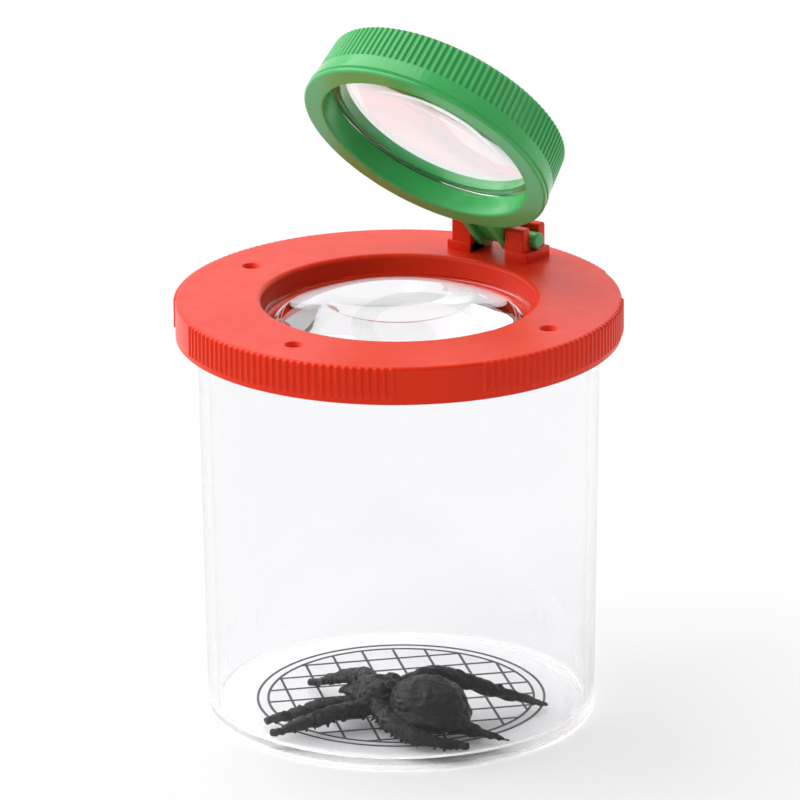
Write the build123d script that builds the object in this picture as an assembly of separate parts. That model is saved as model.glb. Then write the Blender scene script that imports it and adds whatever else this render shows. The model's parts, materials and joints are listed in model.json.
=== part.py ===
from build123d import *
import os
from math import asin, cos, radians, sin

# A bug catcher jar: a clear jar with a measuring grid on its floor, a push-on lid that carries
# a magnifier, a second magnifier that flips up on a snap-in hinge, and a toy spider to look at.
# The origin is the centre of the jar's foot, +Z points up, and the hinge stands on the +Y side.
# Sizes are millimetres and angles are degrees.

# Jar
jar_height = 65.0
jar_base_radius = 30.3
jar_mouth_radius = 31.3
jar_wall = 1.6
jar_floor = 1.6
jar_base_round = 0.85
jar_floor_round = 1.2
foot_ring_width = 3.2
foot_recess = 0.4
rim_bead = 1.45
rim_bead_height = 2.4
rim_bead_slope = 0.7
rim_round = 0.4

# Measuring grid printed on the jar's floor
grid_ring_radius = 22.5
grid_field_radius = 20.85
grid_line_width = 0.38
grid_pitch = 5.0
grid_lines_each_way = 8
grid_angle = 46.3
grid_shift = (0.3, -1.2)
print_thickness = 0.1

# Lid
lid_plate = 2.1
lid_height = 6.0
lid_wall = 1.6
lid_edge_round = 0.5
lid_lip_height = 0.85
lid_push_clearance = 0.25
lid_seat_clearance = 0.2
lid_rib_height = 0.3
lid_rib_base = 0.62
lid_rib_crest = 0.4
lid_rib_step = 2.0
lid_ribs_per_arc = 34
lid_rib_arcs = 4
vent_radius = 1.4
vent_setback = 1.7
vent_bearings = (0.0, 180.0, 270.0)

# Window in the lid, a collar under it, and the lens that lies on the collar's ledge
window_radius = 21.25
window_round = 0.5
window_depth = 4.7
collar_wall = 1.4
ledge_width = 2.35
ledge_thickness = 0.8
lens_clearance = 0.1
lid_lens_edge = 1.6
lid_lens_flat = 2.45
lid_lens_crown = 4.0

# Hinge bracket on the lid
hinge_setback = 6.35
hinge_height = 3.0
pin_radius = 1.35
pin_clearance = 0.05
post_thickness = 1.7
slot_mouth = 2.3
ear_thickness = 3.57
ear_above_pin = 0.95
ear_round = 0.6
plinth_side_margin = 0.9
plinth_end_margin = 0.1
plinth_round = 0.5
pin_overhang = 1.0
pin_chamfer = 0.35
cut_overreach = 1.0

# Flip-up magnifier, described as it lies closed on the lid
flip_open_angle = 49.5
flip_window_clearance = 0.55
flip_nest = 0.28
flip_height = 9.2
flip_wall = 3.43
flip_lip_height = 1.6
flip_lip_step = 0.2
flip_band_top = 3.5
flip_taper = 0.6
flip_edge_round = 0.4
flip_groove_count = 116
flip_groove_depth = 0.35
flip_groove_width = 0.47
flip_bore_depth = 5.8
flip_bore_flare = 0.25
flip_shoulder = 1.1
flip_lens_edge = 2.0
flip_lens_flat = 1.6
flip_lens_crown = 1.3
flip_lens_back_crown = 0.7
flip_nub_count = 4
nub_radius = 0.4
nub_length = 4.0
arm_half_width = 3.0
arm_side_clearance = 0.2
arm_floor_clearance = 0.25
arm_height = 3.7
arm_channel_width = 3.4
arm_channel_depth = 1.0
barrel_floor_clearance = 0.6

# Toy spider lying on the grid, facing -X
spider_rest_clearance = 0.05
abdomen_front = (8.4, -10.6)
abdomen_front_radius = 3.3
abdomen_back = (14.6, -10.6)
abdomen_back_radius = 4.0
abdomen_half_spread = 1.5
abdomen_lift = 0.4
thorax_front = (1.2, -10.6)
thorax_front_radius = 2.4
thorax_back = (5.0, -10.6)
thorax_back_radius = 3.1
thorax_lift = 0.9
leg_root_radius = 1.35
leg_knee_radius = 1.1
leg_knee_swell = 0.07
leg_tip_radius = 0.5
# Each leg: root beside the thorax (x, y), root height, then the knee (x, y), knee height, and
# the tip as a bearing about the jar's axis and its distance short of the jar's inner wall.
spider_legs = {
    "front_left": ((1.5, -12.6), 2.8, (-3.6, -17.2), 2.9, 246.0, 4.5),
    "second_left": ((3.6, -13.2), 2.8, (-0.6, -19.8), 2.7, 257.3, 1.9),
    "third_left": ((5.6, -13.0), 2.8, (14.4, -17.8), 1.7, 326.4, 2.2),
    "hind_left": ((7.0, -11.8), 2.4, (18.4, -10.2), 1.7, 342.3, 1.7),
    "feeler": ((0.2, -11.4), 2.8, (-2.6, -12.0), 2.2, 246.0, 14.9),
    "front_right": ((1.2, -8.6), 3.4, (-7.0, -5.0), 2.6, 198.7, 13.7),
    "second_right": ((1.0, -9.2), 3.0, (-3.6, -6.6), 2.4, 211.5, 19.3),
    "hind_right": ((4.8, -8.4), 4.2, (7.8, -2.6), 5.6, 19.8, 5.1),
}

# Sizes that follow from the ones above
jar_inner_mouth_radius = jar_mouth_radius - jar_wall
jar_inner_floor_radius = jar_base_radius - jar_wall
bead_radius = jar_mouth_radius + rim_bead
skirt_radius = bead_radius + lid_push_clearance
lid_radius = skirt_radius + lid_wall
plate_underside = jar_height + lid_seat_clearance
lid_top = plate_underside + lid_plate
lid_bottom = lid_top - lid_height
vent_circle = jar_inner_mouth_radius - vent_setback
collar_radius = window_radius + collar_wall
ledge_radius = window_radius - ledge_width
ledge_top = lid_top - window_depth
ledge_underside = ledge_top - ledge_thickness
lid_lens_radius = window_radius - lens_clearance
hinge_y = window_radius + hinge_setback
hinge_z = lid_top + hinge_height
seat_radius = pin_radius + pin_clearance
ear_inner = arm_half_width + arm_side_clearance
ear_outer = ear_inner + ear_thickness
ear_half_depth = seat_radius + post_thickness
ear_top = hinge_z + pin_radius + ear_above_pin
plinth_top = hinge_z - seat_radius
pin_half_length = ear_outer + pin_overhang
flip_radius = window_radius - flip_window_clearance
flip_bore_radius = flip_radius - flip_wall
flip_underside = lid_top - flip_nest
flip_top = flip_underside + flip_height
flip_body_radius = flip_radius - flip_lip_step
flip_lens_seat = flip_underside + flip_bore_depth
flip_lens_bore = flip_bore_radius + flip_bore_flare
flip_lens_radius = flip_lens_bore - lens_clearance
barrel_radius = hinge_height - barrel_floor_clearance
arm_underside = lid_top + arm_floor_clearance
print_top = jar_floor + print_thickness
spider_floor = print_top + spider_rest_clearance
hinge_axis = Axis((0, hinge_y, hinge_z), (-1, 0, 0))


def upright(points, rounds=()):
    """Revolve a half section of (radius, height) points, rounding the corners that are named."""
    section = make_face(Polyline(*points, close=True))
    for corner, radius in rounds:
        vertex = section.vertices().sort_by_distance((corner[0], corner[1], 0))[0]
        section = fillet(vertex, radius)
    return revolve(Plane.XZ * section, Axis.Z)


def block(x_range, y_range, z_range):
    """A box between two values on each axis."""
    sizes = [high - low for low, high in (x_range, y_range, z_range)]
    middle = [(high + low) / 2 for low, high in (x_range, y_range, z_range)]
    return Pos(*middle) * Box(*sizes)


def crown(edge_radius, edge_z, rise):
    """Half of a lens surface: an arc from its edge to the axis, rising or falling by rise."""
    ball = (edge_radius ** 2 + rise ** 2) / (2 * abs(rise))
    half_turn = asin(edge_radius / ball) / 2
    side = 1 if rise > 0 else -1
    middle_z = edge_z + rise - side * ball * (1 - cos(half_turn))
    return ThreePointArc((edge_radius, edge_z), (ball * sin(half_turn), middle_z), (0, edge_z + rise))


def lens(radius, flat, bottom_z, edge, top_crown, bottom_crown):
    """A biconvex lens with a flat flange round each of its two crowns."""
    clear_radius = radius - flat
    top_z = bottom_z + edge
    outline = [
        Line((0, bottom_z - bottom_crown), (0, top_z + top_crown)),
        crown(clear_radius, top_z, top_crown),
        Polyline((clear_radius, top_z), (radius, top_z), (radius, bottom_z), (clear_radius, bottom_z)),
        crown(clear_radius, bottom_z, -bottom_crown),
    ]
    return revolve(Plane.XZ * make_face(outline), Axis.Z)


def make_jar():
    foot_radius = jar_base_radius - foot_ring_width
    bead_bottom = jar_height - rim_bead_height
    profile = [
        (0, foot_recess),
        (foot_radius, foot_recess),
        (foot_radius, 0),
        (jar_base_radius, 0),
        (jar_mouth_radius, bead_bottom - rim_bead_slope),
        (bead_radius, bead_bottom),
        (bead_radius, jar_height),
        (jar_inner_mouth_radius, jar_height),
        (jar_inner_floor_radius, jar_floor),
        (0, jar_floor),
    ]
    rounds = [
        ((jar_base_radius, 0), jar_base_round),
        ((bead_radius, jar_height), rim_round),
        ((jar_inner_mouth_radius, jar_height), rim_round),
        ((jar_inner_floor_radius, jar_floor), jar_floor_round),
    ]
    return upright(profile, rounds)


def ring_line(radius):
    """A printed circle, drawn on its centre line."""
    return Circle(radius + grid_line_width / 2) - Circle(radius - grid_line_width / 2)


def make_measuring_grid():
    reach = 2 * grid_field_radius
    places = [(i - (grid_lines_each_way - 1) / 2) * grid_pitch for i in range(grid_lines_each_way)]
    lines = Sketch()
    for place in places:
        lines += Pos(place + grid_shift[0], 0) * Rectangle(grid_line_width, reach)
        lines += Pos(0, place + grid_shift[1]) * Rectangle(reach, grid_line_width)
    field = Rot(0, 0, grid_angle) * lines & Circle(grid_field_radius)
    drawing = ring_line(grid_ring_radius) + ring_line(grid_field_radius) + field
    return extrude(Pos(0, 0, jar_floor) * drawing, print_thickness)


def lid_shell():
    """The lid's plate, skirt and lens collar as one section turned about the axis."""
    profile = [
        (window_radius, ledge_top),
        (window_radius, lid_top),
        (lid_radius, lid_top),
        (lid_radius, lid_bottom),
        (skirt_radius, lid_bottom),
        (skirt_radius, plate_underside),
        (collar_radius, plate_underside),
        (collar_radius, ledge_underside),
        (ledge_radius, ledge_underside),
        (ledge_radius, ledge_top),
    ]
    rounds = [((window_radius, lid_top), window_round), ((lid_radius, lid_top), lid_edge_round)]
    return upright(profile, rounds)


def lid_ribs():
    """Grip ribs in arcs round the skirt, with a smooth patch between one arc and the next."""
    root = lid_radius - lid_rib_height
    crest = lid_radius + lid_rib_height
    rib_outline = Polyline(
        (root, -lid_rib_base / 2),
        (lid_radius, -lid_rib_base / 2),
        (crest, -lid_rib_crest / 2),
        (crest, lid_rib_crest / 2),
        (lid_radius, lid_rib_base / 2),
        (root, lid_rib_base / 2),
        close=True,
    )
    foot = lid_bottom + lid_lip_height
    rib = extrude(Pos(0, 0, foot) * make_face(rib_outline), lid_top - lid_edge_round - foot)
    ribs = []
    for arc in range(lid_rib_arcs):
        for step in range(lid_ribs_per_arc):
            bearing = 360 * arc / lid_rib_arcs + (step - (lid_ribs_per_arc - 1) / 2) * lid_rib_step
            ribs.append(Rot(0, 0, bearing) * rib)
    return ribs


def vents():
    """Air holes through the plate, between the lens collar and the jar's rim."""
    drill = Pos(vent_circle, 0, plate_underside + lid_plate / 2) * Cylinder(vent_radius, 2 * lid_plate)
    return [Rot(0, 0, bearing) * drill for bearing in vent_bearings]


def hinge_bracket():
    """A plinth with two ears, each slotted from above so that the pin snaps in."""
    plinth_half = ear_outer + plinth_side_margin
    plinth_depth = ear_half_depth + plinth_end_margin
    root = plate_underside + lid_plate / 2
    plinth = block(
        (-plinth_half, plinth_half), (hinge_y - plinth_depth, hinge_y + plinth_depth), (root, plinth_top)
    )
    plinth = fillet(plinth.edges().filter_by(Axis.Z), plinth_round)
    bracket = plinth
    for side in (-1, 1):
        near, far = sorted((side * ear_inner, side * ear_outer))
        ear = block((near, far), (hinge_y - ear_half_depth, hinge_y + ear_half_depth), (root, ear_top))
        top_ends = ear.edges().filter_by(Axis.X).group_by(Axis.Z)[-1]
        bracket += fillet(top_ends, ear_round)
    cut_top = ear_top + cut_overreach
    gap_depth = plinth_depth + cut_overreach
    gap = block((-ear_inner, ear_inner), (hinge_y - gap_depth, hinge_y + gap_depth), (lid_top, cut_top))
    seat = Pos(0, hinge_y, hinge_z) * Rot(0, 90, 0) * Cylinder(seat_radius, 2 * plinth_half)
    mouth_y = (hinge_y - slot_mouth / 2, hinge_y + slot_mouth / 2)
    mouth = block((-plinth_half, plinth_half), mouth_y, (hinge_z, cut_top))
    return bracket - gap - seat - mouth


def make_lid():
    return lid_shell() + lid_ribs() + hinge_bracket() - vents()


def make_lid_lens():
    return lens(lid_lens_radius, lid_lens_flat, ledge_top, lid_lens_edge, lid_lens_crown, lid_lens_crown)


def flip_ring():
    """The flip-up magnifier's rim: a lip, a smooth band and a tapering grip with cut grooves."""
    top_radius = flip_body_radius - flip_taper
    shoulder_radius = flip_lens_bore - flip_shoulder
    lip_top = flip_underside + flip_lip_height
    profile = [
        (flip_bore_radius, flip_underside),
        (flip_radius, flip_underside),
        (flip_radius, lip_top),
        (flip_body_radius, lip_top),
        (top_radius, flip_top),
        (shoulder_radius, flip_top),
        (shoulder_radius, flip_lens_seat),
        (flip_lens_bore, flip_lens_seat),
    ]
    rounds = [
        ((flip_radius, flip_underside), flip_edge_round),
        ((flip_bore_radius, flip_underside), flip_edge_round),
        ((top_radius, flip_top), flip_edge_round),
        ((shoulder_radius, flip_top), flip_edge_round),
    ]
    return upright(profile, rounds)


def flip_grooves():
    """Cutters for the grip: narrow grooves that follow the taper from the smooth band upwards."""
    band_z = flip_underside + flip_band_top
    taper_height = flip_height - flip_lip_height
    band_radius = flip_body_radius - flip_taper * (flip_band_top - flip_lip_height) / taper_height
    top_radius = flip_body_radius - flip_taper
    beyond = flip_radius + flip_groove_depth
    side = Polyline(
        (band_radius - flip_groove_depth, band_z),
        (beyond, band_z),
        (beyond, flip_top + flip_groove_depth),
        (top_radius - flip_groove_depth, flip_top + flip_groove_depth),
        close=True,
    )
    cutter = extrude(Plane.XZ * make_face(side), flip_groove_width / 2, both=True)
    step = 360 / flip_groove_count
    return [Rot(0, 0, (i + 0.5) * step) * cutter for i in range(flip_groove_count)]


def flip_arm():
    """The arm from the rim to the hinge barrel, channelled underneath, with the pin across it."""
    rim_y = flip_bore_radius + flip_wall / 2
    barrel = Pos(hinge_y, hinge_z) * Circle(barrel_radius)
    root = Pos(rim_y, arm_underside + arm_height / 2) * Rectangle(flip_wall / 2, arm_height)
    side = make_hull(barrel.edges() + root.edges())
    arm = extrude(Plane.YZ * side, arm_half_width, both=True)
    channel = block(
        (-arm_channel_width / 2, arm_channel_width / 2),
        (flip_radius, hinge_y + barrel_radius),
        (lid_top, hinge_z - barrel_radius + arm_channel_depth),
    )
    pin = Cylinder(pin_radius, 2 * pin_half_length)
    pin = chamfer(pin.edges(), pin_chamfer)
    return arm - channel + Pos(0, hinge_y, hinge_z) * Rot(0, 90, 0) * pin


def snap_nubs():
    """Small bumps on the inside of the rim's bore that keep its lens from dropping out."""
    nub_z = flip_lens_seat - flip_lens_edge - nub_radius
    bump = Pos(flip_bore_radius + nub_radius, 0, nub_z) * Rot(90, 0, 0) * Cylinder(nub_radius, nub_length)
    return [Rot(0, 0, 360 * i / flip_nub_count) * bump for i in range(flip_nub_count)]


def make_flip_frame():
    frame = flip_ring() - flip_grooves() + flip_arm() + snap_nubs()
    return frame.rotate(hinge_axis, flip_open_angle)


def make_flip_lens():
    bottom_z = flip_lens_seat - flip_lens_edge
    glass = lens(
        flip_lens_radius, flip_lens_flat, bottom_z, flip_lens_edge, flip_lens_crown, flip_lens_back_crown
    )
    return glass.rotate(hinge_axis, flip_open_angle)


def pod(start, end, start_radius, end_radius):
    """A tapering length with two ball ends, turned about the line from start to end."""
    run = Vector(*end) - Vector(*start)
    outline = make_hull(Circle(start_radius).edges() + (Pos(0, run.length) * Circle(end_radius)).edges())
    reach = run.length + start_radius + end_radius
    half = outline & Pos(reach, 0) * Rectangle(2 * reach, 4 * reach)
    return Plane(origin=start, z_dir=run) * revolve(Plane.XZ * half, Axis.Z)


def body_pod(front, back, front_radius, back_radius, lift):
    """A part of the spider's body, whose underside hovers by lift above the floor."""
    start = (*front, spider_floor + lift + front_radius)
    end = (*back, spider_floor + lift + back_radius)
    return pod(start, end, front_radius, back_radius)


def make_toy_spider():
    spider = body_pod(thorax_front, thorax_back, thorax_front_radius, thorax_back_radius, thorax_lift)
    for side in (-1, 1):
        front = (abdomen_front[0], abdomen_front[1] + side * abdomen_half_spread)
        back = (abdomen_back[0], abdomen_back[1] + side * abdomen_half_spread)
        spider += body_pod(front, back, abdomen_front_radius, abdomen_back_radius, abdomen_lift)
    for root_xy, root_lift, knee_xy, knee_lift, bearing, short_of_wall in spider_legs.values():
        reach = jar_inner_floor_radius - short_of_wall
        root = (*root_xy, spider_floor + root_lift)
        knee = (*knee_xy, spider_floor + knee_lift)
        tip = (reach * cos(radians(bearing)), reach * sin(radians(bearing)), spider_floor + leg_tip_radius)
        spider += pod(root, knee, leg_root_radius, leg_knee_radius + leg_knee_swell)
        spider += pod(knee, tip, leg_knee_radius, leg_tip_radius)
    return spider


pieces = {
    "jar": make_jar,
    "measuring_grid": make_measuring_grid,
    "lid": make_lid,
    "lid_lens": make_lid_lens,
    "flip_frame": make_flip_frame,
    "flip_lens": make_flip_lens,
    "toy_spider": make_toy_spider,
}

os.makedirs("parts", exist_ok=True)
for name, make in pieces.items():
    shape = make()
    shape.label = name
    export_step(shape, f"parts/{name}.step")
    print(f"{name}: {len(shape.solids())} solid, {shape.volume:.1f} mm3")
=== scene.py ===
# %% [markdown]
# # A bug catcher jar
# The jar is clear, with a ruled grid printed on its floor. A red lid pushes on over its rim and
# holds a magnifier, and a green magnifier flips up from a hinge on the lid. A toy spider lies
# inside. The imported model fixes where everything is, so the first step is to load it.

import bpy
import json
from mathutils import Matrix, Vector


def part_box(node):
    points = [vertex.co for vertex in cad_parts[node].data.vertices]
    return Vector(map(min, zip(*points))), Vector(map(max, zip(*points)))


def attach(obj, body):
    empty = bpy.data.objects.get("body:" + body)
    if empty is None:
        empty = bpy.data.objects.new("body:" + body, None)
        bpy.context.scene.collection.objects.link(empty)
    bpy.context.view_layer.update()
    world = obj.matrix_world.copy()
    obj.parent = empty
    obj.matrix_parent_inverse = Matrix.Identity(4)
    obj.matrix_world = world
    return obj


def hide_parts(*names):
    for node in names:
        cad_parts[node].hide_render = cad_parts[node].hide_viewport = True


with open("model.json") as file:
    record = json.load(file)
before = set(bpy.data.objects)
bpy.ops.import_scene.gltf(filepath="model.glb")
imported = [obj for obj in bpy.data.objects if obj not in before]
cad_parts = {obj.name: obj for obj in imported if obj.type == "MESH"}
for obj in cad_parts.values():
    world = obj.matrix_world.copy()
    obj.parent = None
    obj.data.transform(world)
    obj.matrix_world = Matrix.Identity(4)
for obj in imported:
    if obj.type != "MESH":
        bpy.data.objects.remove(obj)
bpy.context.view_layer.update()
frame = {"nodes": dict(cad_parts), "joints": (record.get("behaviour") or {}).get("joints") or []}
print("nodes:", sorted(frame["nodes"]))

# %% Tools and units
import json
import math
import random

import bmesh
import bpy
import numpy as np
from mathutils import Matrix, Vector, noise

mm = 0.001
scene = bpy.context.scene

# %% [markdown]
# ## Places that the frame gives
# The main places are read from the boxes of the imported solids, and the hinge comes from the joint
# itself, so that these follow the solids. The lid's box ends at the ribs half a step beside the X
# axis, and the lid's radius is worked out from that. Sizes that no box shows, such as the
# thickness of a wall, are written down where a piece needs them.

# %% Read the main places
jar_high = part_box("jar")[1]
lid_low, lid_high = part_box("lid")
flip_hinge = next(joint for joint in frame["joints"] if joint["name"] == "flip_hinge")
pin_centre = Vector(flip_hinge["pos_m"])
open_angle = -math.radians(flip_hinge["range_deg"][0])
hinge_height = 3.0 * mm
lid_top = pin_centre.z - hinge_height
lid_bottom = lid_low.z
rib_height = 0.3 * mm
rib_step = math.radians(2.0)
lid_radius = lid_high.x / math.cos(rib_step / 2) - rib_height
print(f"lid top {lid_top / mm:.2f} mm, lid radius {lid_radius / mm:.2f} mm")
print(f"magnifier open by {math.degrees(open_angle):.1f} degrees")

# %% [markdown]
# ## Helpers for round, moulded pieces
# Nearly everything here is turned: a jar, a lid, a rim and two lenses. A turned piece needs one
# outline of (radius, height) points. Sharp moulded edges never look right under a soft light, so
# an outline is written as corners with a radius each, and a helper puts a small arc at each
# corner. A bevel modifier could do that too, but an arc in the outline costs no extra step and
# stays exact. A guard point just past each end of an arc keeps the smooth shading off the flats
# beside it.

# %% Round the corners of an outline
def rounded(corners, steps=5):
    """Turn (x, y, radius) corners of a closed outline into points, with an arc at each corner."""
    outline = []
    for i, (x, y, radius) in enumerate(corners):
        here = Vector((x, y))
        if radius == 0:
            outline.append(here)
            continue
        back = (Vector(corners[i - 1][:2]) - here).normalized()
        ahead = (Vector(corners[(i + 1) % len(corners)][:2]) - here).normalized()
        half = back.angle(ahead) / 2
        centre = here + (back + ahead).normalized() * radius / math.sin(half)
        first = here + back * radius / math.tan(half) - centre
        last = here + ahead * radius / math.tan(half) - centre
        guard = 0.1 * radius
        outline.append(centre + first + back * guard)
        for k in range(steps + 1):
            outline.append(centre + first.lerp(last, k / steps).normalized() * radius)
        outline.append(centre + last + ahead * guard)
    return [(point[0], point[1]) for point in outline]


# %% Clean a mesh and shade it
def finished(mesh, sharp_angle=40.0):
    """Merge the points that meet on the axis, face the normals outwards and shade smooth."""
    work = bmesh.new()
    work.from_mesh(mesh)
    bmesh.ops.remove_doubles(work, verts=work.verts, dist=0.0005 * mm)
    bmesh.ops.recalc_face_normals(work, faces=work.faces)
    work.to_mesh(mesh)
    work.free()
    mesh.shade_smooth()
    mesh.set_sharp_from_angle(angle=math.radians(sharp_angle))
    return mesh


# %% Turn an outline about the Z axis
def turned(outline, around, closed=True, relief=None):
    """Mesh from an outline; relief(angle, radius, height) may change the radius round the turn."""
    points = np.array(outline)
    count = len(points)
    angles = np.arange(around) * 2 * math.pi / around
    radius = np.tile(points[:, 0], (around, 1))
    height = np.tile(points[:, 1], (around, 1))
    if relief is not None:
        radius = relief(angles[:, None], radius, height)
    across = radius * np.cos(angles)[:, None]
    along = radius * np.sin(angles)[:, None]
    places = np.stack([across, along, height], axis=-1)
    faces = []
    for a in range(around):
        b = (a + 1) % around
        for i in range(count if closed else count - 1):
            j = (i + 1) % count
            faces.append((a * count + i, b * count + i, b * count + j, a * count + j))
    mesh = bpy.data.meshes.new("turned")
    mesh.from_pydata(places.reshape(-1, 3).tolist(), [], faces)
    return finished(mesh)


# %% Put a finished mesh into the scene
def place(name, mesh, body, slot, material, *nodes):
    """Show the mesh as one piece that rides on a body and stands for the solids named last."""
    piece = bpy.data.objects.new(name, mesh)
    scene.collection.objects.link(piece)
    mesh.name = name
    mesh.materials.clear()
    mesh.materials.append(material)
    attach(piece, body)
    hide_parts(*nodes)
    print(f"{name}: {len(mesh.vertices)} points, {len(mesh.polygons)} faces")
    return piece


# %% Join several meshes into one
def joined(*meshes):
    """One mesh that holds all the given ones."""
    work = bmesh.new()
    for mesh in meshes:
        work.from_mesh(mesh)
    whole = bpy.data.meshes.new("joined")
    work.to_mesh(whole)
    work.free()
    return whole


# %% Apply modifiers to a mesh
def modified(mesh, *settings, cutters=()):
    """Return the mesh after modifiers given as (type, {setting: value}), and after cutters."""
    holder = bpy.data.objects.new("holder", mesh)
    scene.collection.objects.link(holder)
    tools = []
    for kind, values in settings:
        modifier = holder.modifiers.new(kind.lower(), kind)
        for key, value in values.items():
            setattr(modifier, key, value)
    for cutter in cutters:
        tool = bpy.data.objects.new("cutter", cutter)
        scene.collection.objects.link(tool)
        tools.append(tool)
        cut = holder.modifiers.new("cut", "BOOLEAN")
        cut.operation = "DIFFERENCE"
        cut.solver = "MANIFOLD"
        cut.object = tool
    evaluated = holder.evaluated_get(bpy.context.evaluated_depsgraph_get())
    shaped = bpy.data.meshes.new_from_object(evaluated)
    for leftover in [holder, *tools]:
        bpy.data.objects.remove(leftover)
    return shaped


# %% [markdown]
# ## Finishes
# Every finish is a node material, so that it needs no picture file. The coloured plastics are
# semi-gloss: their roughness drifts a little from place to place, and a fine orange-peel bump
# breaks up the reflections, as on any moulded part. A smooth, even gloss would look like paint.

# %% Short names for nodes
def new_material(name):
    """An empty node material with its Principled shader and tree."""
    material = bpy.data.materials.new(name)
    material.use_nodes = True
    tree = material.node_tree
    return material, tree, tree.nodes["Principled BSDF"]


def noise_node(tree, scale, detail=2.0, roughness=0.5):
    """Noise in the object's own coordinates; scale counts features per metre."""
    place_node = tree.nodes.new("ShaderNodeTexCoord")
    texture = tree.nodes.new("ShaderNodeTexNoise")
    texture.inputs["Scale"].default_value = scale
    texture.inputs["Detail"].default_value = detail
    texture.inputs["Roughness"].default_value = roughness
    tree.links.new(place_node.outputs["Object"], texture.inputs["Vector"])
    return texture


def ramp_node(tree, source, low, high, start=0.3, end=0.7):
    """Map a value to a range of greys or colours."""
    ramp = tree.nodes.new("ShaderNodeValToRGB")
    ramp.color_ramp.elements[0].position = start
    ramp.color_ramp.elements[1].position = end
    ramp.color_ramp.elements[0].color = low
    ramp.color_ramp.elements[1].color = high
    tree.links.new(source, ramp.inputs["Fac"])
    return ramp.outputs["Color"]


def map_range_node(tree, source, span, result):
    """Map a value from one span of numbers to another."""
    node = tree.nodes.new("ShaderNodeMapRange")
    for name, value in zip(("From Min", "From Max", "To Min", "To Max"), (*span, *result)):
        node.inputs[name].default_value = value
    tree.links.new(source, node.inputs["Value"])
    return node.outputs["Result"]


def bump_from(tree, texture, strength, depth):
    """Let a texture raise the surface of the material's shader."""
    bump = tree.nodes.new("ShaderNodeBump")
    bump.inputs["Strength"].default_value = strength
    bump.inputs["Distance"].default_value = depth
    tree.links.new(texture.outputs["Fac"], bump.inputs["Height"])
    tree.links.new(bump.outputs["Normal"], tree.nodes["Principled BSDF"].inputs["Normal"])


def grey(value):
    """A grey as a colour with alpha."""
    return (value, value, value, 1.0)


# %% Coloured moulded plastic
def moulded_plastic(name, dark, light, smooth, rough, sheen, ior):
    """Semi-gloss plastic whose colour and roughness drift between two values."""
    material, tree, shader = new_material(name)
    drift = noise_node(tree, scale=60.0, detail=3.0)
    tree.links.new(ramp_node(tree, drift.outputs["Fac"], dark, light), shader.inputs["Base Color"])
    haze = noise_node(tree, scale=420.0, detail=4.0, roughness=0.6)
    uneven = ramp_node(tree, haze.outputs["Fac"], grey(smooth), grey(rough))
    tree.links.new(uneven, shader.inputs["Roughness"])
    peel = noise_node(tree, scale=1400.0, detail=1.0)
    bump_from(tree, peel, strength=0.12, depth=0.02 * mm)
    shader.inputs["IOR"].default_value = ior
    shader.inputs["Specular Tint"].default_value = sheen
    return material


red_plastic = moulded_plastic(
    "red_plastic", dark=(0.78, 0.030, 0.007, 1), light=(0.82, 0.036, 0.008, 1),
    smooth=0.28, rough=0.36, sheen=(1.0, 0.35, 0.3, 1), ior=1.42
)
green_plastic = moulded_plastic(
    "green_plastic", dark=(0.048, 0.43, 0.105, 1), light=(0.054, 0.47, 0.118, 1),
    smooth=0.14, rough=0.24, sheen=grey(1.0), ior=1.5
)
print("coloured plastics:", red_plastic.name, green_plastic.name)

# %% [markdown]
# ## Clear plastic
# The jar is clear polystyrene and the lenses are acrylic. Both are refracting shaders on closed
# walls, so that the wall's thickness bends the light. Lamps are blocked by refracting walls, which
# would leave the spider in the dark, so rays that carry shadows pass straight through. The photo
# shows next to no reflection of the floor on the front of the jar, as through a polarising filter,
# so the jar's head-on reflection is turned down. At the edges it stays. The jar's index is below
# that of polystyrene too, because less light is then caught inside its base.

# %% Clear wall and lens
def clear_plastic(name, ior, tint, roughness, mirror):
    """Clear refracting plastic that lets lamps shine through; mirror scales its head-on reflection."""
    material, tree, shader = new_material(name)
    shader.inputs["Base Color"].default_value = tint
    shader.inputs["Transmission Weight"].default_value = 1.0
    shader.inputs["IOR"].default_value = ior
    shader.inputs["Roughness"].default_value = roughness
    shader.inputs["Specular Tint"].default_value = grey(mirror)
    rays = tree.nodes.new("ShaderNodeLightPath")
    open_way = tree.nodes.new("ShaderNodeBsdfTransparent")
    mix = tree.nodes.new("ShaderNodeMixShader")
    tree.links.new(rays.outputs["Is Shadow Ray"], mix.inputs["Fac"])
    tree.links.new(shader.outputs["BSDF"], mix.inputs[1])
    tree.links.new(open_way.outputs["BSDF"], mix.inputs[2])
    tree.links.new(mix.outputs["Shader"], tree.nodes["Material Output"].inputs["Surface"])
    return material


jar_polish = 0.012
lens_polish = 0.004
jar_plastic = clear_plastic(
    "jar_plastic", ior=1.4, tint=(0.95, 0.95, 0.96, 1), roughness=jar_polish, mirror=0.4
)
lens_plastic = clear_plastic(
    "lens_plastic", ior=1.49, tint=(0.96, 0.945, 0.958, 1), roughness=lens_polish, mirror=1.0
)
print("clear plastics:", jar_plastic.name, lens_plastic.name)

# %% [markdown]
# ## Matt faces of the jar
# The jar's underside and the top of its rim are taken as matt, as a mould often leaves them. It
# matters more than it seems: with polished faces all round, light that enters the wall runs on
# inside it from face to face and hardly comes out, and the base and the rim turn black.

# %% Roughness by height
jar_tree = jar_plastic.node_tree
jar_place = jar_tree.nodes.new("ShaderNodeTexCoord")
jar_axes = jar_tree.nodes.new("ShaderNodeSeparateXYZ")
jar_tree.links.new(jar_place.outputs["Object"], jar_axes.inputs["Vector"])


def matt_towards(matt_z, clear_z, roughness):
    """Roughness that rises from polished at one height to matt at another."""
    return map_range_node(jar_tree, jar_axes.outputs["Z"], (matt_z, clear_z), (roughness, jar_polish))


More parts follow.
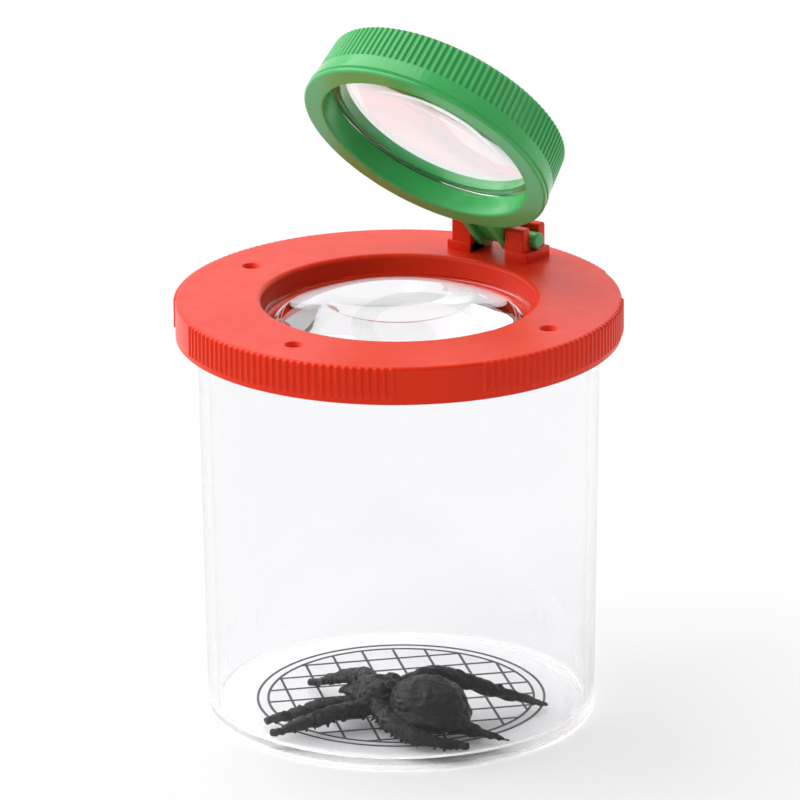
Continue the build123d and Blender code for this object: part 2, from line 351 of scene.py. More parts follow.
matt_base = matt_towards(matt_z=0.7 * mm, clear_z=1.0 * mm, roughness=0.8)
matt_rim = matt_towards(matt_z=jar_high.z - 0.2 * mm, clear_z=jar_high.z - 0.5 * mm, roughness=0.4)
matt_most = jar_tree.nodes.new("ShaderNodeMath")
matt_most.operation = "MAXIMUM"
jar_tree.links.new(matt_base, matt_most.inputs[0])
jar_tree.links.new(matt_rim, matt_most.inputs[1])
jar_tree.links.new(matt_most.outputs["Value"], jar_tree.nodes["Principled BSDF"].inputs["Roughness"])
print("matt faces of", jar_plastic.name, "set by height")

# %% [markdown]
# ## The jar
# A moulded tumbler with a slight draft: a foot ring under its base, a rounded bottom edge, a wall
# of even thickness and a bead round its mouth that the lid grips. One outline from the axis under
# the floor, round the outside and back down the inside makes the closed wall that refraction
# needs.

# %% Jar outline
jar_wall = 1.6 * mm
jar_floor = 1.6 * mm
foot_recess = 0.4 * mm
foot_ring_width = 3.2 * mm
rim_bead = 1.45 * mm
rim_bead_height = 2.4 * mm
rim_bead_slope = 0.7 * mm
recess_round = 0.2 * mm
foot_round = 0.15 * mm
base_round = 0.85 * mm
bead_round = 0.25 * mm
rim_round = 0.4 * mm
inside_round = 1.2 * mm
jar_base_radius = 30.3 * mm
bead_radius = jar_high.x
mouth_radius = bead_radius - rim_bead
jar_height = jar_high.z
bead_bottom = jar_height - rim_bead_height
jar_outline = rounded([
    (0, foot_recess, 0),
    (jar_base_radius - foot_ring_width, foot_recess, recess_round),
    (jar_base_radius - foot_ring_width, 0, foot_round),
    (jar_base_radius, 0, base_round),
    (mouth_radius, bead_bottom - rim_bead_slope, bead_round),
    (bead_radius, bead_bottom, bead_round),
    (bead_radius, jar_height, rim_round),
    (mouth_radius - jar_wall, jar_height, rim_round),
    (jar_base_radius - jar_wall, jar_floor, inside_round),
    (0, jar_floor, 0),
], steps=8)
jar_mesh = turned(jar_outline, around=192, closed=False)
place("jar_shell", jar_mesh, "jar_body", "clear_plastic", jar_plastic, "jar")

# %% [markdown]
# ## The measuring grid
# A dark grey print on the floor: a field of 5 mm squares inside a thin circle, and a second circle
# round it. The print could be a mask in the jar's material, but thin raised strokes stay crisp at
# any distance and keep the jar's shader simple. The photo shows no shadow of the print on the
# paper below, so the strokes cast none.

# %% Ink
def grid_ink():
    """Dark grey ink that covers a little unevenly."""
    material, tree, shader = new_material("grid_ink")
    cover = noise_node(tree, scale=700.0, detail=3.0)
    shade = ramp_node(tree, cover.outputs["Fac"], (0.03, 0.033, 0.038, 1), (0.055, 0.06, 0.068, 1))
    tree.links.new(shade, shader.inputs["Base Color"])
    shader.inputs["Roughness"].default_value = 0.55
    return material


# %% Strokes of the grid
ring_radius = 22.5 * mm
field_radius = 20.85 * mm
stroke = 0.38 * mm
pitch = 5.0 * mm
lines_each_way = 8
grid_turn = math.radians(46.3)
grid_shift = (0.3 * mm, -1.2 * mm)
print_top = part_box("measuring_grid")[1].z


def printed_circle(radius):
    """A flat ring as thick as the ink."""
    inner, outer = radius - stroke / 2, radius + stroke / 2
    section = [(inner, jar_floor), (outer, jar_floor), (outer, print_top), (inner, print_top)]
    return turned(section, around=256)


def printed_line(offset, upright):
    """A straight stroke across the field, cut to the circle."""
    half = math.sqrt(field_radius ** 2 - offset ** 2)
    work = bmesh.new()
    bmesh.ops.create_cube(work, size=1.0)
    size = (stroke, 2 * half) if upright else (2 * half, stroke)
    middle = (offset, 0) if upright else (0, offset)
    bmesh.ops.scale(work, vec=(*size, print_top - jar_floor), verts=work.verts)
    bmesh.ops.translate(work, vec=(*middle, (print_top + jar_floor) / 2), verts=work.verts)
    bmesh.ops.rotate(work, matrix=Matrix.Rotation(grid_turn, 3, "Z"), verts=work.verts)
    mesh = bpy.data.meshes.new("stroke")
    work.to_mesh(mesh)
    work.free()
    return mesh


strokes = [printed_circle(ring_radius), printed_circle(field_radius)]
for i in range(lines_each_way):
    offset = (i - (lines_each_way - 1) / 2) * pitch
    strokes.append(printed_line(offset + grid_shift[0], upright=True))
    strokes.append(printed_line(offset + grid_shift[1], upright=False))
grid = place("measuring_print", joined(*strokes), "jar_body", "grid_ink", grid_ink(), "measuring_grid")
grid.visible_shadow = False

# %% [markdown]
# ## The lid
# The lid is one moulding: a plate with a round window, a skirt with grip ribs in four groups, and
# a collar underneath with a ledge that the lens lies on. It is turned from one outline, and the
# ribs come from a relief that pushes the skirt's radius out in a comb, because a comb made of
# separate bars would need a union of hundreds of pieces. A few more rings on the plate keep its
# faces short.

# %% Lid outline
lid_plate = 2.1 * mm
lid_wall = 1.6 * mm
lip_height = 0.85 * mm
edge_round = 0.5 * mm
window_radius = 21.25 * mm
window_round = 0.8 * mm
window_depth = 4.7 * mm
collar_wall = 1.4 * mm
ledge_width = 2.35 * mm
ledge_thickness = 0.8 * mm
plate_underside = lid_top - lid_plate
collar_radius = window_radius + collar_wall
ledge_radius = window_radius - ledge_width
ledge_top = lid_top - window_depth
ledge_underside = ledge_top - ledge_thickness
rib_foot = lid_bottom + lip_height
rib_end = 0.18 * mm
skirt_inside = lid_radius - lid_wall
plate_rings = [radius * mm for radius in range(23, 34, 2)]
ledge_round = 0.15 * mm
seat_round = 0.1 * mm
lip_round = 0.2 * mm
skirt_round = 0.3 * mm
collar_round = 0.25 * mm
lid_corners = [
    (ledge_radius, ledge_top, ledge_round),
    (window_radius, ledge_top, seat_round),
    (window_radius, lid_top, window_round),
    *[(radius, lid_top, 0) for radius in plate_rings],
    (lid_radius, lid_top, edge_round),
    (lid_radius, rib_foot + rib_end, 0),
    (lid_radius, rib_foot + rib_end / 2, 0),
    (lid_radius, rib_foot, 0),
    (lid_radius, lid_bottom, lip_round),
    (skirt_inside, lid_bottom, skirt_round),
    (skirt_inside, plate_underside, skirt_round),
    (collar_radius, plate_underside, skirt_round),
    (collar_radius, ledge_underside, collar_round),
    (ledge_radius, ledge_underside, ledge_round),
]

# %% Grip ribs as a relief
ribs_per_arc = 34
rib_crest = 0.34
rib_flank = 0.12


def smooth(value):
    """Ease from 0 to 1."""
    value = np.clip(value, 0.0, 1.0)
    return value * value * (3 - 2 * value)


def comb(angle, step, crest, flank):
    """1 on each rib's crest, 0 in the grooves; crest and flank are shares of the step."""
    across = np.abs((angle / step) % 1.0 - 0.5)
    return smooth((crest / 2 + flank - across) / flank)


def lid_relief(angle, radius, height):
    """Push the skirt out into ribs, but not on the four smooth patches or the lower lip."""
    in_quarter = (angle + math.pi / 4) % (math.pi / 2) - math.pi / 4
    ribbed = np.abs(in_quarter) < ribs_per_arc / 2 * rib_step
    rise = smooth((height - rib_foot) / rib_end)
    outside = smooth((radius - (lid_radius - edge_round)) / edge_round)
    ribs = comb(angle, rib_step, rib_crest, rib_flank)
    return radius + rib_height * ribs * ribbed * rise * outside


lid_shell = turned(rounded(lid_corners), around=1440, relief=lid_relief)

# %% Air holes
vent_radius = 1.4 * mm
vent_throat = 0.95 * mm
vent_taper = 1.0 * mm
vent_edge = 0.1 * mm
vent_depth = 2 * lid_plate
vent_circle = 28.0 * mm
vent_bearings = (0.0, 180.0, 270.0)


def drill(bearing):
    """A cutter for one air hole, which narrows downwards as a moulded hole does."""
    outline = [
        (0, lid_top - vent_depth),
        (vent_throat, lid_top - vent_depth),
        (vent_throat, lid_top - vent_taper),
        (vent_radius, lid_top - vent_edge),
        (vent_radius + 2 * vent_edge, lid_top + vent_edge),
        (0, lid_top + vent_edge),
    ]
    mesh = turned(outline, around=40, closed=False)
    turn = math.radians(bearing)
    spot = (vent_circle * math.cos(turn), vent_circle * math.sin(turn), 0)
    mesh.transform(Matrix.Translation(spot))
    return mesh


lid_shell = finished(modified(lid_shell, cutters=[drill(bearing) for bearing in vent_bearings]))
print("lid shell:", len(lid_shell.polygons), "faces")

# %% [markdown]
# ## The hinge bracket
# Two ears stand on low plinths, and each ear has a slot from above with a narrower mouth, so the
# pin snaps in and stays. An ear is a flat shape, so it is drawn once from the side, with the slot
# as an arc in its outline, and pushed out to its thickness. A bevel then softens every edge.

# %% Push a side outline out along X
def pushed(outline, start, end):
    """A prism from (y, z) points between two x values."""
    work = bmesh.new()
    face = work.faces.new([work.verts.new((start, y, z)) for y, z in outline])
    grown = bmesh.ops.extrude_face_region(work, geom=[face])["geom"]
    moved = [item for item in grown if isinstance(item, bmesh.types.BMVert)]
    bmesh.ops.translate(work, vec=(end - start, 0, 0), verts=moved)
    bmesh.ops.recalc_face_normals(work, faces=work.faces)
    mesh = bpy.data.meshes.new("prism")
    work.to_mesh(mesh)
    work.free()
    return mesh


def softened(mesh, width, steps=3):
    """Bevel the edges that turn sharply."""
    bevel = {"width": width, "segments": steps, "harden_normals": False}
    limit = {"limit_method": "ANGLE", "angle_limit": math.radians(35)}
    return finished(modified(mesh, ("BEVEL", {**bevel, **limit})), sharp_angle=50.0)


# %% Ears and plinths
pin_radius = 1.35 * mm
seat_radius = 1.4 * mm
post = 1.7 * mm
slot_mouth = 2.3 * mm
arm_half_width = 3.0 * mm
ear_inner = 3.2 * mm
ear_width = 3.57 * mm
ear_outer = ear_inner + ear_width
ear_top = lid_high.z
ear_half_depth = seat_radius + post
ear_round = 0.55 * mm
ear_bevel = 0.22 * mm
plinth_bevel = 0.3 * mm
plinth_margin = 0.9 * mm
plinth_step = 0.1 * mm
plinth_half = ear_outer + plinth_margin
plinth_half_depth = ear_half_depth + plinth_step
plinth_top = pin_centre.z - seat_radius
sunk = 0.6 * mm


def ear_outline(steps=14):
    """Side view of an ear: two posts with the pin's seat between them."""
    mouth = math.acos(slot_mouth / 2 / seat_radius)
    seat = []
    for k in range(steps + 1):
        turn = mouth - (math.pi + 2 * mouth) * k / steps
        across, rise = seat_radius * math.cos(turn), seat_radius * math.sin(turn)
        seat.append((pin_centre.y + across, pin_centre.z + rise))
    near, far = pin_centre.y - ear_half_depth, pin_centre.y + ear_half_depth
    foot = lid_top - sunk
    lip_far, lip_near = pin_centre.y + slot_mouth / 2, pin_centre.y - slot_mouth / 2
    corners = [(near, ear_top, ear_round), (near, foot, 0), (far, foot, 0), (far, ear_top, ear_round)]
    posts = rounded(corners)
    return posts + [(lip_far, ear_top)] + seat + [(lip_near, ear_top)]


def side_block(near, far, low, high, start, end):
    """A block between two y values, two heights and two x values."""
    return pushed([(near, low), (far, low), (far, high), (near, high)], start, end)


bracket = []
plinth_front = pin_centre.y - plinth_half_depth
plinth_rear = pin_centre.y + plinth_half_depth
for side in (-1, 1):
    ear = pushed(ear_outline(), side * ear_inner, side * ear_outer)
    bracket.append(softened(ear, ear_bevel))
    ends = (side * ear_inner, side * plinth_half)
    plinth = side_block(plinth_front, plinth_rear, lid_top - sunk, plinth_top, *ends)
    bracket.append(softened(plinth, plinth_bevel))
place("lid_moulding", joined(lid_shell, *bracket), "lid_body", "red_plastic", red_plastic, "lid")

# %% [markdown]
# ## The two lenses
# Each magnifier is a biconvex lens with a flat flange that sits in its holder. The crowns are true
# arcs with many steps, because a lens shows every facet as a bent line. A hair gap keeps a clear
# face off the coloured face it lies on, because light slips in between faces that coincide.

# %% Lens outline
flange_round = 0.04 * mm


def crown(edge_radius, edge_z, rise, steps=28):
    """Points along a lens surface from its edge to the axis."""
    ball = (edge_radius ** 2 + rise ** 2) / (2 * abs(rise))
    whole = math.asin(edge_radius / ball)
    up = math.copysign(1.0, rise)
    points = []
    for k in range(steps + 1):
        turn = whole * (1 - k / steps)
        points.append((ball * math.sin(turn), edge_z + rise - up * ball * (1 - math.cos(turn))))
    return points


def lens_mesh(radius, flat, bottom, edge, top_crown, back_crown):
    """A turned lens from the middle of its back, round the flange, to the middle of its top."""
    back = crown(radius - flat, bottom, -back_crown)[::-1]
    top_z = bottom + edge
    edge_corners = [(radius, bottom, flange_round), (radius, top_z, flange_round)]
    flange = rounded([(0, bottom, 0), *edge_corners, (0, top_z, 0)])
    top = crown(radius - flat, top_z, top_crown)
    return turned(back + flange[1:-1] + top, around=160, closed=False)


# %% Lens in the lid
hair_gap = 0.03 * mm
lid_lens_low, lid_lens_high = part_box("lid_lens")
lid_lens_edge = 1.6 * mm
lid_lens_flat = 2.45 * mm
lid_lens_top_crown = lid_lens_high.z - ledge_top - lid_lens_edge
lid_lens_back_crown = ledge_top - lid_lens_low.z
lid_lens_mesh = lens_mesh(
    radius=lid_lens_high.x, flat=lid_lens_flat, bottom=ledge_top + hair_gap, edge=lid_lens_edge,
    top_crown=lid_lens_top_crown - hair_gap, back_crown=lid_lens_back_crown
)
place("lid_magnifier", lid_lens_mesh, "lid_body", "lens_plastic", lens_plastic, "lid_lens")

# %% [markdown]
# ## The flip-up magnifier
# It is easiest to model lying closed on the lid, centred on the jar's axis, and then to turn it
# open about the hinge pin as a whole. The rim has a lip with two fine lines in it, a smooth band
# and a tapering grip whose grooves stop sharply at the band.

# %% Main sizes of the rim
flip_gap = 0.55 * mm
flip_sink = 0.28 * mm
flip_height = 9.2 * mm
flip_wall = 3.43 * mm
flip_lip_height = 1.6 * mm
band_height = 3.5 * mm
lens_seat_height = 5.8 * mm
bore_widening = 0.25 * mm
shoulder_width = 1.1 * mm
flip_radius = window_radius - flip_gap
flip_underside = lid_top - flip_sink
flip_top = flip_underside + flip_height
lip_top = flip_underside + flip_lip_height
lip_step = 0.2 * mm
lip_line_depth = 0.12 * mm
lip_line_start = 0.6 * mm
lip_line_half_width = 0.13 * mm
band_top = flip_underside + band_height
taper = 0.6 * mm
flip_bore = flip_radius - flip_wall
lens_bore = flip_bore + bore_widening
shoulder = lens_bore - shoulder_width
lens_seat = flip_underside + lens_seat_height
lens_edge = 2.0 * mm
lens_clearance = 0.1 * mm
body_radius = flip_radius - lip_step
print(f"rim {2 * flip_radius / mm:.1f} mm across, bore {2 * flip_bore / mm:.1f} mm")

# %% Rim outline
bore_round = 0.35 * mm
face_round = 0.4 * mm
lip_edge_round = 0.12 * mm
lip_foot_round = 0.05 * mm
grip_round = 0.45 * mm
shoulder_round = 0.5 * mm
lens_seat_round = 0.1 * mm
face_rings = (0.35, 0.65)
taper_at_band = 0.24 * taper
taper_at_grooves = 0.25 * taper
taper_halfway = 0.6 * taper
groove_edge = 0.06 * mm
lip_lines = []
for row in range(5):
    line_z = flip_underside + lip_line_start + lip_line_half_width * row
    lip_lines.append((flip_radius - lip_line_depth * (row % 2), line_z, 0))
flip_corners = [
    (flip_bore, flip_underside, bore_round),
    *[(flip_bore + share * flip_wall, flip_underside, 0) for share in face_rings],
    (flip_radius, flip_underside, face_round),
    *lip_lines,
    (flip_radius, lip_top, lip_edge_round),
    (body_radius, lip_top, lip_foot_round),
    (body_radius - taper_at_band, band_top, 0),
    (body_radius - taper_at_grooves, band_top + groove_edge, 0),
    (body_radius - taper_halfway, (band_top + flip_top) / 2, 0),
    (body_radius - taper, flip_top, grip_round),
    (shoulder, flip_top, shoulder_round),
    (shoulder, lens_seat, lens_seat_round),
    (lens_bore, lens_seat, lens_seat_round),
]

# %% Points for the bumps in the bore
nub_radius = 0.4 * mm
nub_length = 4.0 * mm
nub_rows = (1.0, 0.85, 0.5, 0.0, -0.5, -0.85, -1.0)
nub_z = lens_seat - lens_edge - nub_radius
bore_slope = (lens_bore - flip_bore) / (lens_seat - flip_underside)
for share in nub_rows:
    bore_z = nub_z + share * nub_radius
    flip_corners.append((flip_bore + bore_slope * (bore_z - flip_underside), bore_z, 0))

# %% Grip grooves as a relief
groove_count = 116
groove_depth = 0.35 * mm
groove_crest = 0.2
groove_flank = 0.3
steps_per_groove = 12
groove_start = 0.05 * mm
groove_margin = 0.5 * mm
groove_inside = body_radius - taper - groove_margin
groove_fade = 0.3 * mm


def nub_relief(angle, radius, height):
    """Raise four short bumps in the bore, which keep the lens from dropping out."""
    in_quarter = (angle + math.pi / 4) % (math.pi / 2) - math.pi / 4
    beside = np.abs(in_quarter) * flip_bore < nub_length / 2
    across = np.clip(1.0 - ((height - nub_z) / nub_radius) ** 2, 0.0, 1.0)
    crest = flip_bore + nub_radius * (1.0 - np.sqrt(across))
    in_bore = (radius < lens_bore) & (across > 0) & beside
    return np.where(in_bore, np.minimum(radius, crest), radius)


def grip_relief(angle, radius, height):
    """Cut grooves into the outside above the smooth band, and raise the bumps in the bore."""
    radius = nub_relief(angle, radius, height)
    ribs = comb(angle, 2 * math.pi / groove_count, groove_crest, groove_flank)
    above = smooth((height - band_top) / groove_start)
    outside = smooth((radius - groove_inside) / groove_fade)
    return radius - groove_depth * (1 - ribs) * above * outside


rim = turned(rounded(flip_corners), around=groove_count * steps_per_groove, relief=grip_relief)

# %% Arm, barrel and pin
barrel_radius = 2.4 * mm
barrel_sweep = 200
arm_lift = 0.25 * mm
arm_underside = lid_top + arm_lift
arm_height = 3.7 * mm
channel_width = 3.4 * mm
channel_depth = 1.0 * mm
pin_overhang = 1.0 * mm
pin_half_length = ear_outer + pin_overhang
pin_round = 0.35 * mm
arm_bevel = 0.18 * mm
web_overlap = 0.2 * mm


def arm_outline(floor_lift=0.0, steps=24):
    """Side view of the arm: a tapering web that ends round the barrel."""
    root = flip_bore + flip_wall / 2
    low, high = arm_underside + floor_lift, arm_underside + arm_height
    end_radius = barrel_radius - floor_lift
    round_end = []
    for k in range(steps + 1):
        turn = math.radians(barrel_sweep * k / steps - barrel_sweep / 2)
        across, rise = end_radius * math.cos(turn), end_radius * math.sin(turn)
        round_end.append((pin_centre.y + across, pin_centre.z + rise))
    return [(root, low)] + round_end + [(root, high)]


def arm_meshes():
    """Two side webs, a thinner middle between them, and the pin through the barrel."""
    inner = channel_width / 2
    webs = []
    for side in (-1, 1):
        web = pushed(arm_outline(), side * inner, side * arm_half_width)
        webs.append(softened(web, arm_bevel))
    middle = pushed(arm_outline(channel_depth), -inner - web_overlap, inner + web_overlap)
    pin = turned(rounded([
        (0, -pin_half_length, 0),
        (pin_radius, -pin_half_length, pin_round),
        (pin_radius, pin_half_length, pin_round),
        (0, pin_half_length, 0),
    ]), around=48, closed=False)
    pin.transform(Matrix.Translation(pin_centre) @ Matrix.Rotation(math.pi / 2, 4, "Y"))
    return [*webs, finished(middle), pin]


# %% Open the magnifier about its pin
swing = Matrix.Rotation(open_angle, 4, Vector(flip_hinge["axis"]))
opened = Matrix.Translation(pin_centre) @ swing @ Matrix.Translation(-pin_centre)
flip_mesh = joined(rim, *arm_meshes())
flip_mesh.transform(opened)
place("flip_rim", flip_mesh, "flip_magnifier", "green_plastic", green_plastic, "flip_frame")

# %% Lens in the rim
flip_lens_bottom = lens_seat - lens_edge - hair_gap
flip_lens_flat = 0.9 * mm
flip_lens_top_crown = 1.3 * mm
flip_lens_back_crown = 0.7 * mm
flip_lens_mesh = lens_mesh(
    radius=lens_bore - lens_clearance, flat=flip_lens_flat, bottom=flip_lens_bottom, edge=lens_edge,
    top_crown=flip_lens_top_crown, back_crown=flip_lens_back_crown
)
flip_lens_mesh.transform(opened)
place("flip_magnifier_lens", flip_lens_mesh, "flip_magnifier", "lens_plastic", lens_plastic, "flip_lens")

# %% [markdown]
# ## The toy spider
# A soft black toy, moulded in one piece: a big rounded abdomen, a smaller front body, a feeler and
# the seven legs that the photo shows, most of them with bumpy edges. Separate balls and tubes are
# piled up first and then melted together by a voxel remesh, which gives the rounded joints of a
# real moulding. Fine wrinkles are pressed in afterwards, point by point, with noise.

# %% Soft black plastic
def spider_plastic():
    """Black soft plastic with a dull sheen and a grained skin."""
    material, tree, shader = new_material("spider_plastic")
    drift = noise_node(tree, scale=260.0, detail=4.0)
    shade = ramp_node(tree, drift.outputs["Fac"], (0.002, 0.002, 0.0023, 1), (0.006, 0.006, 0.0066, 1))
    tree.links.new(shade, shader.inputs["Base Color"])
    uneven = ramp_node(tree, drift.outputs["Fac"], grey(0.38), grey(0.58))
    tree.links.new(uneven, shader.inputs["Roughness"])
    grain = noise_node(tree, scale=1100.0, detail=5.0, roughness=0.62)
    bump_from(tree, grain, strength=0.7, depth=0.16 * mm)
    shader.inputs["IOR"].default_value = 1.38
    return material


# %% Balls and tubes to pile up
def ball(pile, centre, radii, around):
    """Add an ellipsoid to the pile of points and faces; sizes in millimetres."""
    points, faces = pile
    first, rings = len(points), around // 2
    for j in range(rings + 1):
        tilt = math.pi * j / rings
        for i in range(around):
            turn = 2 * math.pi * i / around
            way = (math.sin(tilt) * math.cos(turn), math.sin(tilt) * math.sin(turn), math.cos(tilt))
            points.append(Vector(centre) + Vector(way) * Vector(radii))
    for j in range(rings):
        for i in range(around):
            here, beside = first + j * around + i, first + j * around + (i + 1) % around
            faces.append((here, beside, beside + around, here + around))


def tube(pile, start, end, start_radius, end_radius, around=12):
    """Add a tapering tube with a ball at each end; sizes in millimetres."""
    points, faces = pile
    start, end = Vector(start), Vector(end)
    spin = (end - start).to_track_quat("Z", "Y")
    first = len(points)
    for middle, radius in ((start, start_radius), (end, end_radius)):
        for i in range(around):
            turn = 2 * math.pi * i / around
            points.append(middle + spin @ Vector((radius * math.cos(turn), radius * math.sin(turn), 0)))
    for i in range(around):
        here, beside = first + i, first + (i + 1) % around
        faces.append((here, beside, beside + around, here + around))
    ball(pile, start, (start_radius,) * 3, around)
    ball(pile, end, (end_radius,) * 3, around)


# %% Legs as (x, y, height, radius) stations
spider_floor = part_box("toy_spider")[0].z / mm
spider_legs = {
    "front_left": [
        (1.8, -12.6, 4.6, 1.3), (-2.8, -16.4, 4.6, 1.1), (-6.6, -19.6, 3.3, 0.9),
        (-9.8, -22.1, 2.3, 0.42),
    ],
    "second_left": [
        (3.6, -13.2, 4.6, 1.4), (0.2, -18.2, 4.4, 1.25), (-3.0, -22.4, 3.3, 1.0),
        (-5.9, -26.0, 2.2, 0.3),
    ],
    "third_left": [
        (5.4, -13.4, 4.8, 1.6), (9.5, -16.4, 4.2, 1.55), (14.6, -17.6, 3.3, 1.3),
        (18.8, -16.4, 2.8, 0.8), (21.4, -15.0, 2.5, 0.55), (22.1, -14.7, 2.4, 0.6),
    ],
    "hind_left": [
        (12.0, -11.5, 4.0, 1.6), (18.2, -10.3, 3.4, 1.2), (20.6, -9.6, 3.0, 0.95),
        (21.0, -9.5, 2.9, 0.68), (25.6, -8.2, 2.05, 0.2),
    ],
    "feeler": [(0.2, -11.6, 4.3, 0.9), (-2.4, -12.1, 3.7, 0.75), (-5.4, -12.6, 2.5, 0.4)],
    "front_right": [
        (1.4, -8.6, 5.8, 1.35), (-2.2, -6.3, 6.4, 1.25), (-7.2, -4.9, 4.9, 1.05),
        (-11.0, -4.8, 3.3, 0.7), (-14.0, -4.8, 2.4, 0.5),
    ],
    "second_right": [
        (0.8, -9.2, 5.0, 1.0), (-3.0, -7.2, 4.4, 0.8), (-5.8, -5.9, 3.5, 0.55),
        (-8.0, -4.9, 2.4, 0.28),
    ],
    "hind_right": [
        (5.2, -8.0, 6.2, 1.6), (7.2, -3.6, 7.6, 1.5), (9.6, -1.2, 7.3, 1.4),
        (14.4, 2.6, 5.0, 1.15), (18.6, 5.6, 3.3, 0.8), (22.0, 7.9, 2.1, 0.26),
    ],
}
spiny_legs = ("front_left", "second_left", "third_left", "front_right", "second_right", "feeler")
spine_gap = 1.0
spine_length = 0.7
spine_start = 0.6
spine_places = (0.2, 0.8)
spine_droop = (0.3, 1.1)
spine_reach = (0.3, 1.0)
spine_root_radii = (0.4, 0.58)
spine_tip_radius = 0.12
chance = random.Random(5)


def add_spines(pile, start, end):
    """Add a row of uneven teeth along both lower sides of one stretch of leg."""
    a, b = Vector(start[:3]), Vector(end[:3])
    across = (b - a).cross(Vector((0, 0, 1))).normalized()
    count = max(1, round((b - a).length / spine_gap))
    for side in (-1, 1):
        for k in range(count):
            share = (k + chance.uniform(*spine_places)) / count
            radius = start[3] + (end[3] - start[3]) * share
            out = (across * side - Vector((0, 0, chance.uniform(*spine_droop)))).normalized()
            root = a.lerp(b, share) + out * radius * spine_start
            length = radius * (1 - spine_start) + spine_length * chance.uniform(*spine_reach)
            root_radius = chance.uniform(*spine_root_radii)
            tube(pile, root, root + out * length, root_radius, spine_tip_radius, around=8)


def add_leg(pile, stations, spiny):
    """Add one leg as a chain of tapering tubes, with spines where it has them."""
    for start, end in zip(stations, stations[1:]):
        tube(pile, start[:3], end[:3], start[3], end[3])
        if spiny:
            add_spines(pile, start, end)


# %% Body as balls: middle, radii and points around
body_y = -10.6
middle_balls = {
    "abdomen": ((12.6, 4.6), (6.3, 5.1, 4.1), 40),
    "abdomen_foot": ((12.6, 3.0), (6.9, 5.8, 2.6), 40),
    "front_body": ((3.6, 4.1), (4.4, 3.7, 3.0), 32),
    "head": ((0.8, 4.2), (2.4, 2.4, 2.3), 24),
}
paired_balls = {
    "shoulder": ((4.6, 1.7, 5.6), (1.9, 1.5, 1.5), 24),
    "jaw": ((-1.2, 0.95, 2.9), (1.6, 0.85, 1.5), 24),
    "eye": ((-0.9, 0.8, 5.8), (0.65, 0.6, 0.6), 12),
}


def spider_pile():
    """All the balls and tubes of the spider in one mesh."""
    pile = ([], [])
    for (x, lift), radii, around in middle_balls.values():
        ball(pile, (x, body_y, spider_floor + lift), radii, around)
    for side in (-1, 1):
        for (x, aside, lift), radii, around in paired_balls.values():
            ball(pile, (x, body_y + aside * side, spider_floor + lift), radii, around)
    for name, stations in spider_legs.items():
        add_leg(pile, stations, name in spiny_legs)
    mesh = bpy.data.meshes.new("spider_pile")
    mesh.from_pydata([point * mm for point in pile[0]], [], pile[1])
    return mesh


# %% Melt it together and press in the wrinkles
fold_rise = 0.16
fold_depth = 0.5
fold_stretch = Vector((0.35, 0.9, 0.9))
lump_height = 0.16
lumps_per_mm = 1.1
dimple_height = 0.1
dimples_per_mm = 2.6
voxel = 0.16 * mm


def wrinkle_depth(at):
    """An uneven skin with folds that run along the body; sizes in millimetres."""
    folds = fold_rise - fold_depth * abs(noise.noise(at * fold_stretch))
    lumps = lump_height * noise.noise(at * lumps_per_mm)
    dimples = dimple_height * noise.noise(at * dimples_per_mm)
    return folds + lumps + dimples


spider_mesh = modified(
    spider_pile(),
    ("REMESH", {"mode": "VOXEL", "voxel_size": voxel}),
    ("SMOOTH", {"factor": 0.5, "iterations": 2}),
)
places = [point.co.copy() for point in spider_mesh.vertices]
normals = [point.normal.copy() for point in spider_mesh.vertices]
for point, at, normal in zip(spider_mesh.vertices, places, normals):
    moved = at + normal * wrinkle_depth(at / mm) * mm
    moved.z = max(moved.z, spider_floor * mm)
    point.co = moved
spider_mesh.shade_smooth()
place("spider_moulding", spider_mesh, "spider_body", "spider_rubber", spider_plastic(), "toy_spider")

# %% [markdown]
# ## Floor and light
# The photo is a packshot on white paper: bright all round the back, dim on the camera's side, with
# one wide softbox high up on the left. The sky is a gradient from white behind the object to grey
# behind the camera, because it is this dim side that draws the clear plastic's edges and keeps
# the rim's front free of glare. The floor is pale paper that keeps the object's soft shadow.

# %% Floor
floor_half = 6.0
floor_z = -hair_gap
floor_ways = ((-1, -1), (1, -1), (1, 1), (-1, 1))
floor_corners = [(x * floor_half, y * floor_half, floor_z) for x, y in floor_ways]
floor_mesh = bpy.data.meshes.new("floor")
floor_mesh.from_pydata(floor_corners, [], [(0, 1, 2, 3)])
floor = bpy.data.objects.new("floor", floor_mesh)
scene.collection.objects.link(floor)
floor_material, _, floor_shader = new_material("floor_paper")
floor_shader.inputs["Base Color"].default_value = grey(0.82)
floor_shader.inputs["Roughness"].default_value = 0.9
floor_shader.inputs["Specular IOR Level"].default_value = 0.0
floor_mesh.materials.append(floor_material)

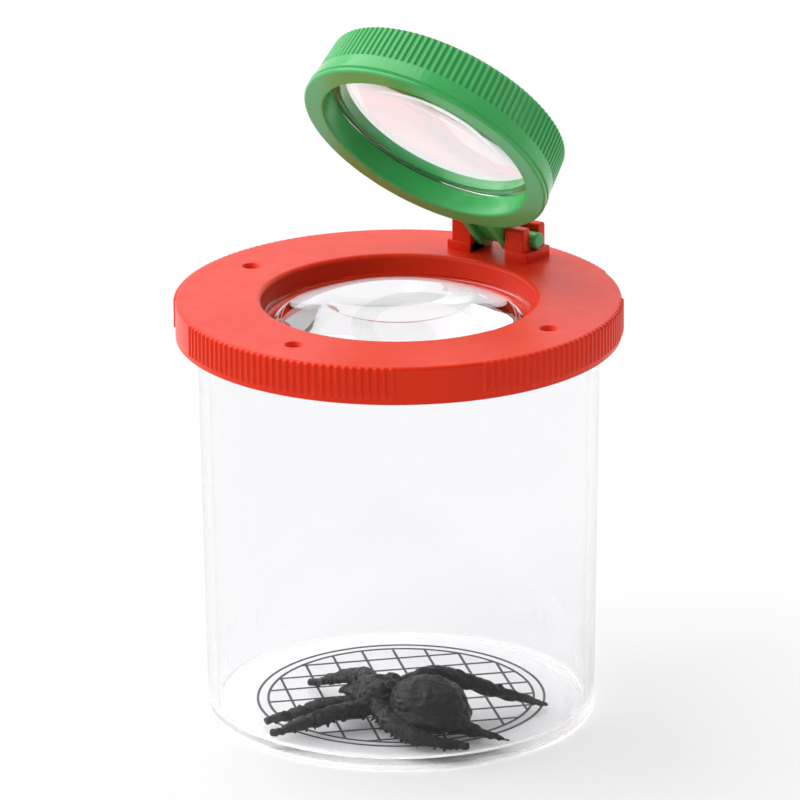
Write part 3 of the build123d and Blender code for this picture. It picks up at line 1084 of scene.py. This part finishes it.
# %% Sky: white behind the object, grey behind the camera
view_azimuth = math.radians(34.8)
towards_camera = Vector((math.sin(view_azimuth), -math.cos(view_azimuth), 0))
level_right = Vector((math.cos(view_azimuth), math.sin(view_azimuth), 0))
world = bpy.data.worlds.new("studio")
scene.world = world
world.use_nodes = True
sky = world.node_tree
direction = sky.nodes.new("ShaderNodeTexCoord")
facing = sky.nodes.new("ShaderNodeVectorMath")
facing.operation = "DOT_PRODUCT"
facing.inputs[1].default_value = towards_camera
sky.links.new(direction.outputs["Generated"], facing.inputs[0])
back_strength, front_strength = 1.0, 0.14
sky_span = (-0.9, 0.9)
strength = map_range_node(sky, facing.outputs["Value"], sky_span, (back_strength, front_strength))
sky.links.new(strength, sky.nodes["Background"].inputs["Strength"])
sky.nodes["Background"].inputs["Color"].default_value = grey(1.0)
print("sky from", back_strength, "behind the object to", front_strength, "behind the camera")

# %% Softbox high on the left
softbox = bpy.data.lights.new("softbox", "SUN")
softbox.energy = 2.85
softbox.angle = math.radians(80)
softbox_object = bpy.data.objects.new("softbox", softbox)
scene.collection.objects.link(softbox_object)
softbox_left = 0.62
softbox_behind = 0.08
softbox_height = 0.76
softbox_level = level_right * -softbox_left - towards_camera * softbox_behind
softbox_side = softbox_level + Vector((0, 0, softbox_height))
softbox_object.rotation_euler = softbox_side.to_track_quat("Z", "Y").to_euler()
print("softbox from", [round(value, 2) for value in softbox_side])

# %% [markdown]
# ## Camera
# The camera was fitted to the ellipses of the jar's base and of the lid: a long lens from about
# 1.4 m away, above the lid, about 35 degrees round from the side opposite the hinge.

# %% Camera at the photo's angle
view_elevation = math.radians(18.83)
view_roll = math.radians(-0.386)
view_distance = 1.4215
aim_height = 50.4 * mm
aim_right = 0.13 * mm
focal_pixels = 9145.0
photo_width = 800

back = towards_camera * math.cos(view_elevation) + Vector((0, 0, math.sin(view_elevation)))
upward = back.cross(level_right)
right = level_right * math.cos(view_roll) + upward * math.sin(view_roll)
up = upward * math.cos(view_roll) - level_right * math.sin(view_roll)
camera_data = bpy.data.cameras.new("photo_camera")
camera_data.sensor_width = 36.0
camera_data.lens = camera_data.sensor_width * focal_pixels / photo_width
camera_data.clip_end = 50.0
camera = bpy.data.objects.new("photo_camera", camera_data)
scene.collection.objects.link(camera)
stand = Vector((0, 0, aim_height)) + back * view_distance + level_right * aim_right
camera.matrix_world = Matrix.Translation(stand) @ Matrix((right, up, back)).transposed().to_4x4()
scene.camera = camera
scene.view_settings.view_transform = "Standard"
print(f"camera lens {camera_data.lens:.1f} mm")
